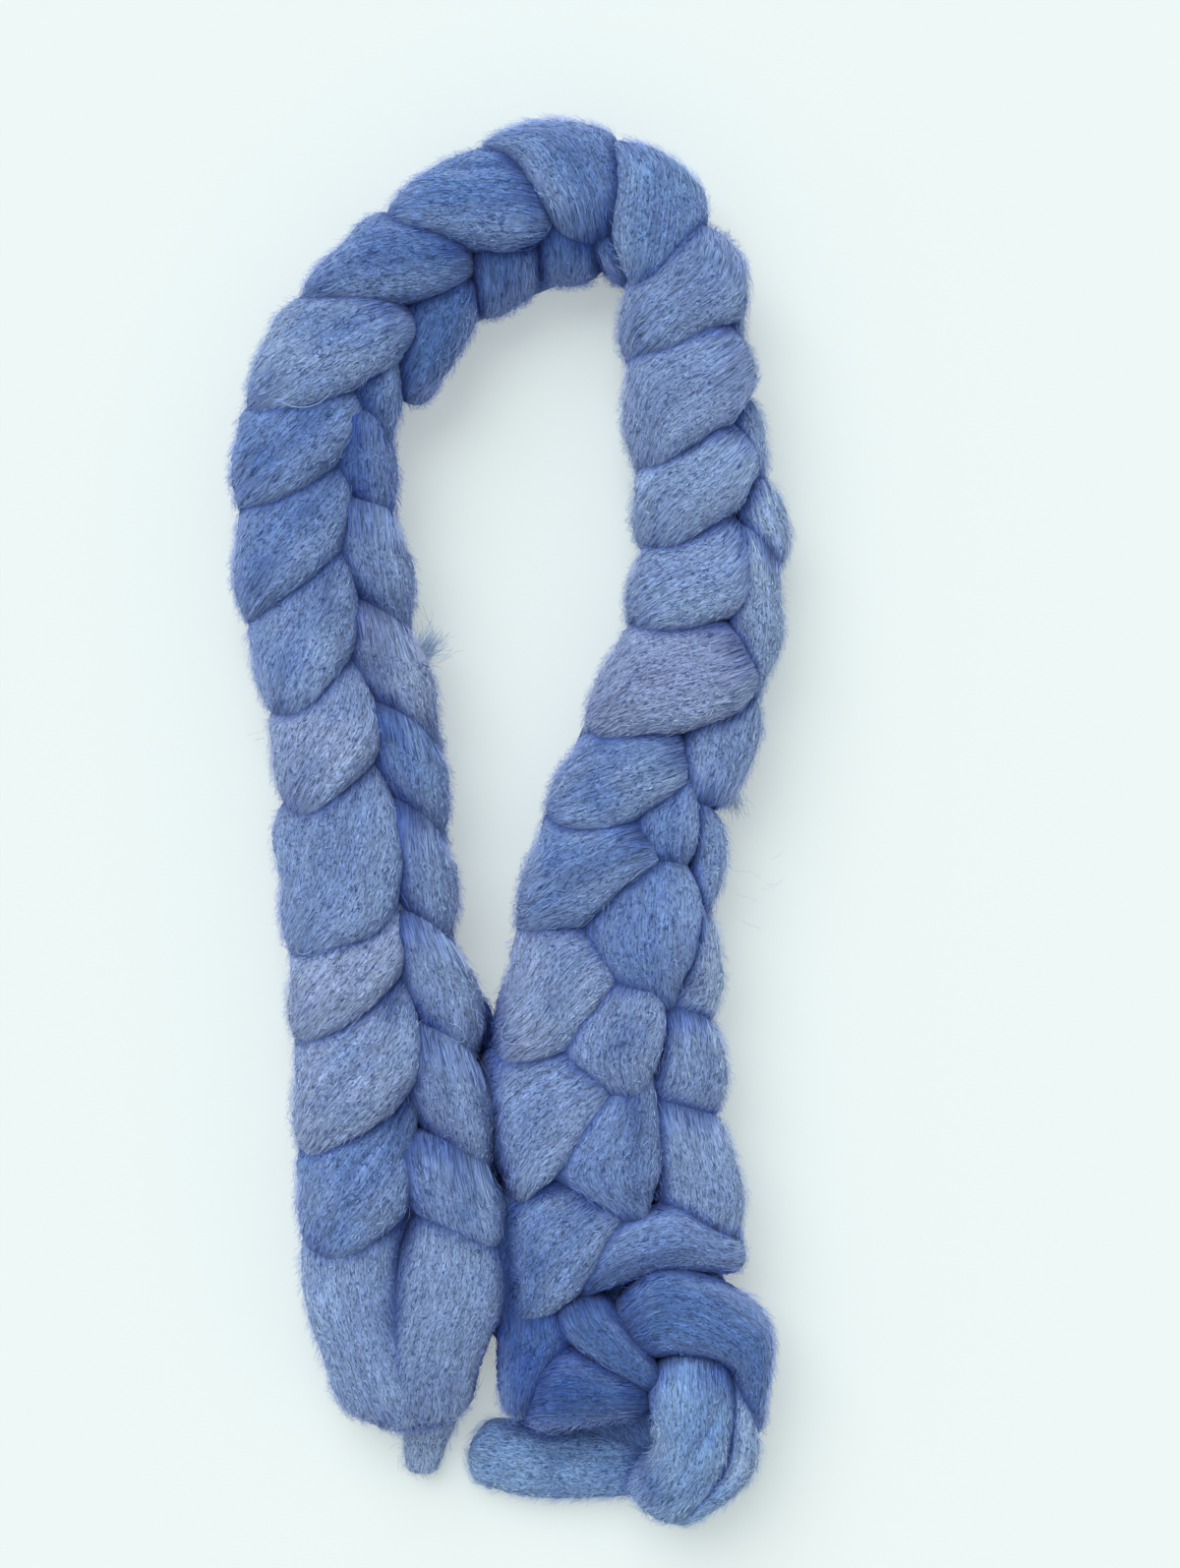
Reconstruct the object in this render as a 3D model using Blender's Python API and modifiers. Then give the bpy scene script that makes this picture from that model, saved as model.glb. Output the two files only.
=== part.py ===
"""A hank of combed wool top, worked into a chain plait by hand and laid down in a tall U.

One length of soft, barely twisted roving makes every stitch. Each stitch shows as two fat arms
that come up from the middle of the chain, swell over its face and roll round its side. The hank
lies on a flat surface, z = 0. X runs across the U and Y along its two limbs, towards the bend.
"""

import bpy
import bmesh

MM = 0.001

WOOL_BLUE = (0.19, 0.27, 0.52, 1.0)

# Where the middle of the hank lies in the tables' own millimetres.
MIDDLE_X = -1.8
MIDDLE_Y = 2.8

# How an arm is rounded. Sinks, reaches and drops are shares of its radius.
INNER_SINK = 0.45            # the inner end's depth under the crown
OUTER_SINK = 0.60            # the outer end's depth under the crown
ROOT_REACH = 0.50            # past the inner end the arm dives into the chain
ROOT_DROP = 1.00
TUCK_REACH = 0.15            # past the outer end it rolls under the chain's side
TUCK_DROP = 1.20
ROOT_SHARE = 0.80            # radius of the hidden root
LAID_FLAT = 1.5              # millimetres by which the lowest wool is pressed flat

MIDDLE_HEIGHT = 28           # millimetres from the surface to the foot of the creases

# Fineness of the solid.
TUBE_STEPS = 4
TUBE_ROUNDNESS = 3
CAP_WELD = 0.00001
SKIN_VOXEL = 0.0032
SOFTEN_TURNS = 3
SKIN_SHARE = 0.145           # share of the skin's triangles that is kept

# The slab that levels the underside.
CUTTER_SIDE = 0.8
CUTTER_DEPTH = 0.1

# The arms of the stitches, in millimetres. Each row is an arm's inner end, its crown and its
# outer end in plan, then the height of its crown and its radius.
# name, inner x, inner y, crown x, crown y, outer x, outer y, top, radius
LEFT_LIMB_OUTER_ARMS = (
    ("left_outer_1", -50, 189, -70, 180, -88, 170, 43, 15),
    ("left_outer_2", -68, 154, -83, 142, -94, 134, 43, 14),
    ("left_outer_3", -70, 122, -84, 109, -95, 97, 43, 14),
    ("left_outer_4", -68, 88, -77, 70, -87, 54, 43, 15),
    ("left_outer_5", -64, 48, -71, 28, -79, 10, 43, 15),
    ("left_outer_6", -56, 1, -66, -20, -74, -38, 45, 18),
    ("left_outer_7", -52, -45, -64, -61, -74, -73, 43, 14.5),
    ("left_outer_8", -50, -79, -62, -97, -73, -114, 44, 16.5),
    ("left_outer_9", -49, -120, -60, -137, -70, -151, 43, 16),
)
LEFT_LIMB_INNER_ARMS = (
    ("left_inner_1", -21, 207, -26, 193, -34, 176, 34, 11),
    ("left_inner_2", -45, 179, -49, 166, -52, 155, 38, 9.5),
    ("left_inner_3", -54, 152, -51, 137, -52, 125, 40, 10),
    ("left_inner_4", -58, 116, -50, 102, -48, 88, 41, 12.5),
    ("left_inner_5", -52, 76, -44, 62, -41, 47, 41, 13),
    ("left_inner_6", -45, 41, -37, 24, -34, 8, 41, 13),
    ("left_inner_7", -36, -2, -32, -17, -33, -32, 41, 11.5),
    ("left_inner_8", -36, -41, -29, -60, -25, -76, 41, 13.5),
    ("left_inner_9", -30, -84, -24, -102, -22, -118, 41, 13.5),
    ("left_inner_10", -30, -126, -21, -140, -17, -154, 41, 14),
)
LAST_LOOP = (
    ("last_loop_left", -51, -160, -63, -181, -56, -206, 40, 15),
    ("last_loop_right", -32, -167, -20, -182, -26, -206, 40, 16.5),
    ("last_loop_end", -57, -212, -40, -219, -23, -211, 27, 12),
)
BEND_OUTER_ARMS = (
    ("bend_outer_1", -28, 216, -48, 216, -64, 209, 43, 15),
    ("bend_outer_2", 4, 232, -15, 238, -33, 238, 45, 17),
    ("bend_outer_3", 31, 237, 18, 250, 4, 255, 45, 16.5),
    ("bend_outer_4", 51, 219, 54, 235, 52, 247, 45, 15),
)
BEND_INNER_ARMS = (
    ("bend_inner_1", 9, 217, -2, 210, -12, 203, 32, 11),
    ("bend_inner_2", 36, 225, 24, 220, 15, 217, 32, 10),
    ("bend_inner_3", 45, 227, 44, 220, 45, 214, 32, 7.5),
)
RIGHT_LIMB_BROAD_ARMS = (
    ("right_broad_1", 56, 189, 65, 203, 73, 215, 45, 16),
    ("right_broad_2", 56, 150, 66, 163, 79, 177, 46, 18),
    ("right_broad_3", 61, 117, 70, 130, 79, 142, 45, 15),
    ("right_broad_4", 58, 86, 71, 97, 84, 108, 44, 16),
    ("right_broad_5", 43, 46, 60, 54, 76, 61, 45, 17),
    ("right_broad_6", 25, 9, 39, 16, 54, 23, 43, 14),
    ("right_broad_7", 16, -30, 27, -20, 40, -11, 43, 15),
    ("right_broad_8", 8, -77, 16, -63, 26, -49, 43, 15),
    ("right_broad_9", 6, -127, 13, -112, 25, -97, 43, 16),
    ("right_broad_10", 11, -168, 20, -155, 30, -143, 40, 15),
)
RIGHT_LIMB_EDGE_ARMS = (
    ("right_edge_1", 85, 191, 85, 180, 84, 167, 26, 6),
    ("right_edge_2", 88, 156, 90, 146, 89, 135, 28, 7.5),
    ("right_edge_3", 92, 127, 96, 118, 97, 110, 34, 9),
    ("right_edge_4", 91, 105, 93, 86, 93, 64, 40, 10),
    ("right_edge_5", 84, 44, 83, 32, 78, 17, 40, 13),
    ("right_edge_6", 76, 4, 76, -10, 73, -24, 35, 8),
    ("right_edge_7", 69, -42, 71, -54, 69, -67, 38, 10),
    ("right_edge_8", 66, -72, 68, -86, 67, -100, 40, 13.5),
    ("right_edge_9", 67, -113, 70, -128, 73, -147, 41, 15.5),
)
RIGHT_LIMB_BACK_BUMPS = (
    ("back_bump_1", 58, 5, 58, -3, 57, -11, 40, 10),
    ("back_bump_2", 52, -25, 51, -38, 49, -50, 46, 17),
    ("back_bump_3", 34, -72, 41, -81, 47, -89, 45, 13.5),
    ("back_bump_4", 35, -115, 39, -126, 45, -136, 45, 15),
    ("back_bump_5", 38, -168, 56, -158, 74, -162, 43, 10.5),
)
STARTING_KNOT = (
    ("knot_over", 45, -187, 67, -184, 85, -196, 45, 15),
    ("knot_side", 86, -192, 91, -205, 90, -221, 40, 9.5),
    ("knot_cross", 22, -185, 34, -192, 47, -202, 39, 10),
    ("knot_left", 12, -192, 10, -205, 11, -219, 32, 11),
    ("knot_under", 15, -219, 30, -217, 45, -219, 36, 11),
    ("knot_down", 68, -215, 69, -230, 65, -247, 44, 14),
    ("knot_edge", 87, -222, 88, -236, 82, -250, 34, 9),
    ("knot_bight", 52, -255, 67, -256, 82, -252, 24, 9.5),
)
ARM_TABLES = (
    LEFT_LIMB_OUTER_ARMS,
    LEFT_LIMB_INNER_ARMS,
    LAST_LOOP,
    BEND_OUTER_ARMS,
    BEND_INNER_ARMS,
    RIGHT_LIMB_BROAD_ARMS,
    RIGHT_LIMB_EDGE_ARMS,
    RIGHT_LIMB_BACK_BUMPS,
    STARTING_KNOT,
)

# The two ends of the roving lie on the surface. Each row is a place along an end in plan, then
# the height of its middle and its half width there, in millimetres.
# x, y, middle height, half width
FINISHING_TAIL = (
    (-31, -212, 7, 9),
    (-31, -226, 3, 8),
    (-33, -237, 1, 7),
    (-35, -245, 0, 5),
)
STARTING_TAIL = (
    (58, -240, 8, 12),
    (38, -242, 5, 14),
    (18, -243, 4, 14),
    (0, -241, 3, 14),
    (-9, -237, 1, 10),
)

# The packed middle of the chain, from the finishing end round to the starting knot. Its section
# is the arc that stands on the surface with this half width.
# x, y, half width
CHAIN_MIDDLE = (
    (-39, -208, 25),
    (-41, -172, 34),
    (-45, -135, 35),
    (-47, -97, 34),
    (-49, -60, 32),
    (-55, -22, 30),
    (-57, 15, 31),
    (-63, 53, 30),
    (-70, 90, 31),
    (-74, 127, 28),
    (-72, 165, 28),
    (-59, 189, 28),
    (-33, 212, 25),
    (2, 229, 24),
    (32, 239, 25),
    (56, 228, 20),
    (66, 202, 19),
    (68, 165, 22),
    (77, 127, 25),
    (75, 90, 26),
    (63, 53, 30),
    (49, 15, 33),
    (41, -22, 34),
    (39, -60, 37),
    (38, -97, 40),
    (41, -135, 43),
    (44, -172, 42),
    (49, -210, 45),
    (64, -238, 24),
)

# The stretch where the two limbs lie pressed together, as x, y, middle height and half width.
LIMBS_TOUCHING = (
    (-9, -98, 12, 6),
    (-7, -125, 14, 9),
    (-5, -150, 14, 9),
    (-4, -172, 14, 9),
    (-3, -190, 13, 8),
)


def clear_scene():
    for thing in list(bpy.data.objects):
        bpy.data.objects.remove(thing)


def wool_material():
    material = bpy.data.materials.new("dyed_wool")
    material.use_nodes = True
    shader = material.node_tree.nodes["Principled BSDF"]
    shader.inputs["Base Color"].default_value = WOOL_BLUE
    shader.inputs["Roughness"].default_value = 0.95
    shader.inputs["Metallic"].default_value = 0.0
    material.diffuse_color = WOOL_BLUE
    return material


def beyond(end, crown, distance):
    """The place in plan that lies this far past an arm's end, straight on from its crown."""
    run_x, run_y = end[0] - crown[0], end[1] - crown[1]
    share = distance / (run_x ** 2 + run_y ** 2) ** 0.5
    return end[0] + run_x * share, end[1] + run_y * share


def arm_stations(row):
    """The five places along an arm, from root to tuck, as x, y, z and radius."""
    _, inner_x, inner_y, crown_x, crown_y, outer_x, outer_y, top, radius = row
    inner, crown, outer = (inner_x, inner_y), (crown_x, crown_y), (outer_x, outer_y)
    root = beyond(inner, crown, ROOT_REACH * radius)
    tuck = beyond(outer, crown, TUCK_REACH * radius)
    crown_z = top - radius
    inner_z = crown_z - INNER_SINK * radius
    outer_z = crown_z - OUTER_SINK * radius
    end_radius = radius * ROOT_SHARE
    root_z = max(inner_z - ROOT_DROP * radius, end_radius - LAID_FLAT)
    tuck_z = max(outer_z - TUCK_DROP * radius, radius - LAID_FLAT)
    return (
        (*root, root_z, end_radius),
        (*inner, inner_z, radius),
        (*crown, crown_z, radius),
        (*outer, outer_z, radius),
        (*tuck, tuck_z, radius),
    )


def middle_stations():
    """Stations of round tubes that show above the surface as arcs MIDDLE_HEIGHT high."""
    stations = []
    for x, y, half_width in CHAIN_MIDDLE:
        radius = (half_width ** 2 + MIDDLE_HEIGHT ** 2) / (2 * MIDDLE_HEIGHT)
        stations.append((x, y, MIDDLE_HEIGHT - radius, radius))
    return stations


def add_strand(curve, stations):
    """One smooth run of roving through stations of x, y, z and radius, in millimetres."""
    spline = curve.splines.new("BEZIER")
    spline.bezier_points.add(len(stations) - 1)
    for point, (x, y, z, radius) in zip(spline.bezier_points, stations):
        point.co = ((x - MIDDLE_X) * MM, (y - MIDDLE_Y) * MM, z * MM)
        point.radius = radius * MM
        point.handle_left_type = "AUTO"
        point.handle_right_type = "AUTO"


def strands_mesh(name):
    """Every arm, the two ends and the packed middle as closed tubes in one mesh."""
    curve = bpy.data.curves.new(name, "CURVE")
    curve.dimensions = "3D"
    curve.bevel_depth = 1.0
    curve.bevel_resolution = TUBE_ROUNDNESS
    curve.resolution_u = TUBE_STEPS
    curve.use_fill_caps = True
    for table in ARM_TABLES:
        for row in table:
            add_strand(curve, arm_stations(row))
    add_strand(curve, FINISHING_TAIL)
    add_strand(curve, STARTING_TAIL)
    add_strand(curve, middle_stations())
    add_strand(curve, LIMBS_TOUCHING)
    guide = bpy.data.objects.new(name, curve)
    bpy.context.scene.collection.objects.link(guide)
    graph = bpy.context.evaluated_depsgraph_get()
    mesh = bpy.data.meshes.new_from_object(guide.evaluated_get(graph))
    bpy.data.objects.remove(guide)
    shape = bmesh.new()
    shape.from_mesh(mesh)
    bmesh.ops.remove_doubles(shape, verts=shape.verts, dist=CAP_WELD)
    shape.to_mesh(mesh)
    shape.free()
    return mesh


def floor_cutter(helpers):
    """A slab under the surface, which leaves the hank flat where it rests."""
    bpy.ops.mesh.primitive_cube_add(size=1.0, location=(0.0, 0.0, -CUTTER_DEPTH / 2))
    cutter = bpy.context.active_object
    cutter.name = "surface_cutter"
    cutter.scale = (CUTTER_SIDE, CUTTER_SIDE, CUTTER_DEPTH)
    cutter.hide_render = True
    cutter.display_type = "WIRE"
    for group in list(cutter.users_collection):
        group.objects.unlink(cutter)
    helpers.objects.link(cutter)
    return cutter


def build_hank():
    parts = bpy.data.collections.new("roving_hank")
    helpers = bpy.data.collections.new("cutters")
    bpy.context.scene.collection.children.link(parts)
    bpy.context.scene.collection.children.link(helpers)
    hank = bpy.data.objects.new("roving_braid", strands_mesh("roving_braid"))
    parts.objects.link(hank)
    hank.data.materials.append(wool_material())

    skin = hank.modifiers.new("one_skin", "REMESH")
    skin.mode = "VOXEL"
    skin.voxel_size = SKIN_VOXEL
    soften = hank.modifiers.new("soften", "SMOOTH")
    soften.factor = 0.5
    soften.iterations = SOFTEN_TURNS
    thin = hank.modifiers.new("fewer_faces", "DECIMATE")
    thin.ratio = SKIN_SHARE
    rest = hank.modifiers.new("resting_flat", "BOOLEAN")
    rest.operation = "DIFFERENCE"
    rest.object = floor_cutter(helpers)


clear_scene()
build_hank()
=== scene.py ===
"""Looks for a hank of combed wool top, chain plaited and laid down in a tall U.

Every arm of the plait is a fat, soft roll of wool that bends down at both ends. The rolls carry
the dye, paler and darker from arm to arm, with painted shade in the creases and hollows and a
painted sheen on the flanks and rims, and the fibres' own direction. Short curls of down and a
halo of fine hairs are laid over them.
"""
import math
import bpy
import numpy as np
from mathutils.bvhtree import BVHTree
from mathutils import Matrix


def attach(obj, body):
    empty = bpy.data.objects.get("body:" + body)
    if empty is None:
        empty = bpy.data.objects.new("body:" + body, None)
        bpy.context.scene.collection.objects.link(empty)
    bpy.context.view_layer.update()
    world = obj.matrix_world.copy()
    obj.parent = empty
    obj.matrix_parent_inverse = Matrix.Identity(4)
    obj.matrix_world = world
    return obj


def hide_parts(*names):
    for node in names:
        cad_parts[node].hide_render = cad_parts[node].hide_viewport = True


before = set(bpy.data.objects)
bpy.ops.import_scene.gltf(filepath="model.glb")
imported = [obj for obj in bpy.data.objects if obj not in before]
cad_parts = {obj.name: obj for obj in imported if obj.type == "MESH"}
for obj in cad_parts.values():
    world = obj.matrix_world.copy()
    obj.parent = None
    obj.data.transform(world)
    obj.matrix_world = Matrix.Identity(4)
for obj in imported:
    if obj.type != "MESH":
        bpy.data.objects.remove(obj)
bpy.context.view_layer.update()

MM = 0.001
MIDDLE_X = -1.8              # the middle of the hank's box, where the part has its origin
MIDDLE_Y = 2.8

# The dyer's blues, as linear colours of the wool itself.
DYES = {
    "ink": (0.045, 0.108, 0.360),
    "navy": (0.074, 0.155, 0.385),
    "deep": (0.106, 0.205, 0.470),
    "slate": (0.125, 0.205, 0.410),
    "blue": (0.140, 0.237, 0.500),
    "mid": (0.175, 0.268, 0.510),
    "sky": (0.155, 0.282, 0.552),
    "soft": (0.202, 0.297, 0.540),
    "grey": (0.225, 0.325, 0.545),
    "lilac": (0.240, 0.310, 0.525),
    "lavender": (0.268, 0.345, 0.562),
    "mist": (0.238, 0.348, 0.598),
    "powder": (0.230, 0.380, 0.655),
    "ice": (0.320, 0.440, 0.680),
    "pale": (0.420, 0.575, 0.780),
}
# Painted shade: the colour towards which creases, hollows, shade bands and pits are darkened
PAINTED_CREASE_SHADE = np.array((0.020, 0.064, 0.235))
# Painted sheen: the colour towards which open flanks and lifted rims are lightened
PAINTED_FLANK_SHEEN = np.array((0.385, 0.530, 0.790))

# How an arm bends down at its ends. Heights are shares of its half thickness, widths of its own.
EDGE_IN = 0.96               # an end that shows turns down this far before its outline
DRAWN_IN_MOST = 0.7          # of the way to the next point
SINK_AHEAD = 0.25            # of an end's sinking, the share that has come a station before
HIDDEN_SINK = 0.50           # an end that sinks this far goes on under its neighbour
ROOT_DROP = 1.10
ROOT_WIDTH = 0.85
FLANK_DROP = 0.75
FLANK_OVER_REST = 1.0        # in millimetres
FLANK_BACK = 0.05
FLANK_WIDTH = 1.08
UNDER_BACK = 0.75
UNDER_REST = 0.70
UNDER_WIDTH = 0.9
UNDERLAP = (7.0, 7.5, 6.0, 3.0)    # how far the lower edge goes on under its neighbour
RIM_OVER = 0.8               # how far any other edge reaches over its neighbour

# How plump a roll is: 2 is an ellipse, more is squarer
PLUMP = 2.15
PLUMP_RIM = 3.0              # of a lifted edge
PLUMP_BACK = 1.75            # of the edge that slants away under its neighbour
PLUMP_END = 2.5

# The arms of the stitches, in millimetres. Both long edges run with the fibres, left and right
# when looking from the start of the arm to its end, through four pairs of points in plan. Then
# come the height of the crown, half of the thickness, the lean in degrees, which lifts the left
# edge, and how far the start and the end sink, as shares of the half thickness.
# name, left edge,
# right edge, top, thick, lean, start sink, end sink, start dye, end dye. The two dyes are partly
# the wool's own tone and partly painted shade, darker towards an end that lies in shade.
ARMS = (
    ("left_outer_1", ((-39, 194), (-45, 176), (-70, 160), (-99, 153)),
     ((-46, 201), (-68, 203), (-86, 194), (-101, 176)), 43, 13, 16, 0.4, 0.45, "blue", "grey"),
    ("left_outer_2", ((-58, 160), (-60, 145), (-74, 129), (-100, 118)),
     ((-68, 168), (-86, 164), (-101, 154), (-106, 142)), 43, 13, 18, 0.8, 0.45, "navy", "blue"),
    ("left_outer_3", ((-62, 130), (-62, 111), (-74, 94), (-99, 77)),
     ((-69, 137), (-88, 129), (-101, 117), (-108, 98)), 43, 13, 18, 0.8, 0.45, "navy", "blue"),
    ("left_outer_4", ((-62, 95), (-58, 75), (-68, 54), (-86, 39)),
     ((-69, 103), (-86, 92), (-98, 74), (-97, 52)), 43, 13, 18, 0.8, 0.45, "blue", "soft"),
    ("left_outer_5", ((-56, 55), (-50, 32), (-62, 12), (-82, 2)),
     ((-66, 63), (-81, 52), (-90, 37), (-89, 17)), 43, 13, 18, 0.8, 0.45, "mid", "lavender"),
    ("left_outer_6", ((-49, 16), (-40, -9), (-49, -39), (-80, -54)),
     ((-62, 21), (-81, 9), (-88, -9), (-85, -38)), 44, 13.5, 18, 0.8, 0.45, "mid", "mid"),
    ("left_outer_7", ((-42, -38), (-41, -56), (-55, -72), (-79, -84)),
     ((-51, -31), (-69, -39), (-81, -52), (-83, -71)), 43, 13, 18, 0.8, 0.45, "lavender", "lavender"),
    ("left_outer_8", ((-39, -70), (-35, -93), (-53, -116), (-79, -129)),
     ((-48, -63), (-68, -71), (-81, -84), (-82, -109)), 43, 13, 18, 0.8, 0.45, "soft", "lavender"),
    ("left_outer_9", ((-38, -114), (-40, -144), (-54, -159), (-74, -172)),
     ((-47, -107), (-68, -116), (-78, -130), (-81, -154)), 41.5, 13, 4, 0.8, 0.45, "deep", "mid"),
    ("last_loop_left", ((-40, -152), (-43, -172), (-34, -202), (-23, -232)),
     ((-80, -153), (-80, -176), (-72, -202), (-63, -230)), 40, 13.5, 0, 0.7, 0.45, "mist", "soft"),
    ("left_inner_1", ((-14, 212), (-15, 193), (-25, 175), (-40, 164)),
     ((-26, 217), (-38, 204), (-43, 189), (-45, 171)), 36, 11, 0, 0.4, 0.45, "navy", "navy"),
    ("left_inner_2", ((-44, 186), (-43, 171), (-45, 159), (-49, 150)),
     ((-47, 188), (-57, 174), (-63, 164), (-59, 156)), 37, 11, 4, 0.5, 1.0, "blue", "navy"),
    ("left_inner_3", ((-51, 153), (-46, 143), (-45, 131), (-49, 117)),
     ((-63, 161), (-66, 148), (-68, 136), (-64, 126)), 39.5, 12, 19, 0.05, 1.15, "ink", "navy"),
    ("left_inner_4", ((-48, 111), (-40, 104), (-38, 91), (-43, 76)),
     ((-64, 130), (-67, 116), (-68, 102), (-62, 90)), 39.5, 12.5, 19, 0.05, 1.15, "mid", "slate"),
    ("left_inner_5", ((-44, 71), (-33, 62), (-30, 48), (-31, 35)),
     ((-62, 92), (-64, 75), (-64, 60), (-56, 52)), 39.5, 12.5, 19, 0.05, 1.15, "lavender", "slate"),
    ("left_inner_6", ((-35, 31), (-26, 24), (-25, 11), (-28, -3)),
     ((-56, 54), (-56, 38), (-53, 22), (-46, 14)), 39.5, 12.5, 19, 0.05, 1.15, "deep", "slate"),
    ("left_inner_7", ((-30, -8), (-23, -15), (-22, -30), (-26, -44)),
     ((-47, 14), (-48, -4), (-48, -19), (-44, -29)), 39.5, 12.5, 19, 0.05, 1.15, "mid", "mid"),
    ("left_inner_8", ((-27, -49), (-15, -56), (-11, -71), (-16, -90)),
     ((-47, -26), (-48, -41), (-47, -56), (-44, -67)), 39.5, 12.5, 19, 0.05, 1.15, "soft", "soft"),
    ("left_inner_9", ((-17, -94), (-8, -102), (-6, -116), (-9, -131)),
     ((-43, -68), (-44, -84), (-42, -101), (-38, -115)), 39.5, 12.5, 19, 0.05, 1.15, "soft", "mid"),
    ("left_inner_10", ((-12, -134), (-4, -142), (-2, -151), (-6, -159)),
     ((-40, -116), (-42, -128), (-41, -140), (-36, -151)), 39.5, 12.5, 8, 0.05, 1.15, "blue", "mist"),
    ("last_loop_right", ((-2, -157), (-1, -178), (-11, -202), (-20, -230)),
     ((-40, -153), (-45, -174), (-56, -204), (-54, -233)), 40, 13.5, 0, 0.7, 0.45, "grey", "soft"),
    ("bend_outer_1", ((-17, 213), (-30, 202), (-50, 198), (-81, 201)),
     ((-20, 223), (-34, 227), (-54, 228), (-77, 208)), 43, 13, 14, 0.4, 0.45, "navy", "blue"),
    ("bend_outer_2", ((14, 231), (-3, 219), (-26, 223), (-50, 231)),
     ((10, 241), (-6, 254), (-24, 250), (-40, 244)), 45, 13.5, 14, 0.4, 0.45, "deep", "deep"),
    ("bend_outer_3", ((21, 229), (12, 237), (2, 251), (-14, 260)),
     ((38, 226), (40, 242), (35, 262), (11, 274)), 45, 13.5, 14, 0.4, 0.45, "deep", "blue"),
    ("bend_outer_4", ((46, 210), (39, 225), (41, 248), (40, 261)),
     ((51, 208), (65, 221), (68, 242), (60, 259)), 45, 13, 6, 0.5, 0.45, "blue", "sky"),
    ("bend_inner_1", ((9, 223), (10, 221), (10, 220), (9, 213)),
     ((-14, 221), (-15, 216), (-14, 208), (-13, 198)), 34, 11, 0, 0.2, 0.4, "navy", "navy"),
    ("bend_inner_2", ((32, 229), (34, 225), (34, 223), (32, 216)),
     ((11, 231), (9, 225), (10, 222), (12, 214)), 33, 10, 0, 0.2, 0.4, "navy", "navy"),
    ("bend_inner_3", ((45, 227), (47, 222), (49, 216), (49, 210)),
     ((31, 228), (31, 223), (32, 220), (38, 215)), 33, 9, 0, 0.2, 0.4, "navy", "navy"),
    ("right_broad_1", ((87, 217), (88, 194), (68, 184), (47, 175)),
     ((74, 230), (62, 220), (49, 206), (42, 193)), 45, 13, 4, 0.3, 0.45, "mid", "soft"),
    ("right_broad_2", ((87, 168), (83, 153), (68, 144), (51, 131)),
     ((85, 191), (69, 188), (49, 177), (42, 151)), 46, 13.5, 14, 0.3, 0.45, "soft", "soft"),
    ("right_broad_3", ((91, 139), (87, 122), (73, 112), (53, 105)),
     ((86, 156), (68, 146), (52, 132), (48, 117)), 45, 13, 14, 0.3, 0.45, "mist", "mist"),
    ("right_broad_4", ((91, 99), (86, 81), (68, 75), (47, 76)),
     ((87, 122), (71, 112), (54, 105), (47, 90)), 44, 13, 14, 0.3, 0.45, "mist", "soft"),
    ("right_broad_5", ((90, 56), (81, 41), (56, 34), (30, 33)),
     ((86, 75), (68, 78), (47, 73), (32, 54)), 45, 13.5, 14, 0.3, 0.45, "lilac", "lilac"),
    ("right_broad_6", ((68, 18), (56, 7), (39, -1), (14, 0)),
     ((64, 34), (51, 36), (32, 33), (18, 18)), 43, 13, 14, 0.4, 0.45, "mist", "deep"),
    ("right_broad_7", ((58, -14), (46, -21), (30, -36), (3, -42)),
     ((51, -2), (36, 1), (15, -1), (6, -17)), 43, 13, 14, 0.4, 0.45, "deep", "mid"),
    ("right_broad_8", ((41, -59), (32, -73), (21, -86), (-5, -93)),
     ((30, -38), (11, -38), (2, -51), (-4, -70)), 43, 13, 14, 0.7, 0.45, "soft", "lavender"),
    ("right_broad_9", ((39, -101), (31, -115), (18, -133), (-2, -143)),
     ((29, -89), (15, -84), (-8, -94), (-9, -120)), 43, 13, 14, 0.7, 0.45, "soft", "mid"),
    ("right_broad_10", ((44, -148), (37, -162), (25, -179), (6, -192)),
     ((31, -140), (15, -136), (-4, -147), (-6, -180)), 40, 13, 10, 0.6, 0.9, "mid", "navy"),
    ("right_edge_1", ((86, 217), (88, 199), (89, 180), (89, 164)),
     ((79, 217), (77, 199), (79, 180), (81, 164)), 33, 10, 0, 0.3, 0.45, "ice", "ice"),
    ("right_edge_2", ((89, 166), (96, 154), (97, 141), (95, 128)),
     ((82, 166), (81, 154), (82, 142), (84, 129)), 34, 10, 0, 0.3, 0.45, "mist", "ice"),
    ("right_edge_3", ((97, 134), (104, 122), (106, 111), (102, 101)),
     ((86, 131), (86, 120), (90, 110), (92, 103)), 36, 11, 0, 0.3, 0.45, "ice", "mist"),
    ("right_edge_4", ((102, 108), (102, 90), (103, 71), (95, 53)),
     ((82, 120), (83, 101), (83, 82), (84, 59)), 42, 13, 0, 0.15, 0.8, "ice", "mist"),
    ("right_edge_5", ((90, 52), (95, 36), (89, 20), (78, 9)),
     ((81, 43), (66, 34), (66, 19), (69, 10)), 39, 12, 0, 0.3, 0.45, "mist", "mid"),
    ("right_edge_6", ((71, 15), (81, -2), (81, -17), (74, -34)),
     ((69, 15), (69, -2), (68, -17), (71, -32)), 34, 10, 0, 0.2, 0.6, "deep", "mist"),
    ("right_edge_7", ((75, -34), (79, -47), (80, -62), (75, -75)),
     ((71, -32), (70, -44), (65, -54), (55, -62)), 38, 11, 0, 0.3, 0.6, "ice", "ice"),
    ("right_edge_8", ((75, -74), (81, -87), (82, -99), (78, -111)),
     ((58, -64), (57, -79), (55, -92), (48, -100)), 40, 13, 0, 0.4, 0.8, "mist", "soft"),
    ("right_edge_9", ((79, -110), (84, -124), (88, -143), (86, -162)),
     ((52, -101), (52, -116), (55, -133), (54, -144)), 41, 13, 0, 0.4, 0.8, "mist", "mist"),
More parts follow.
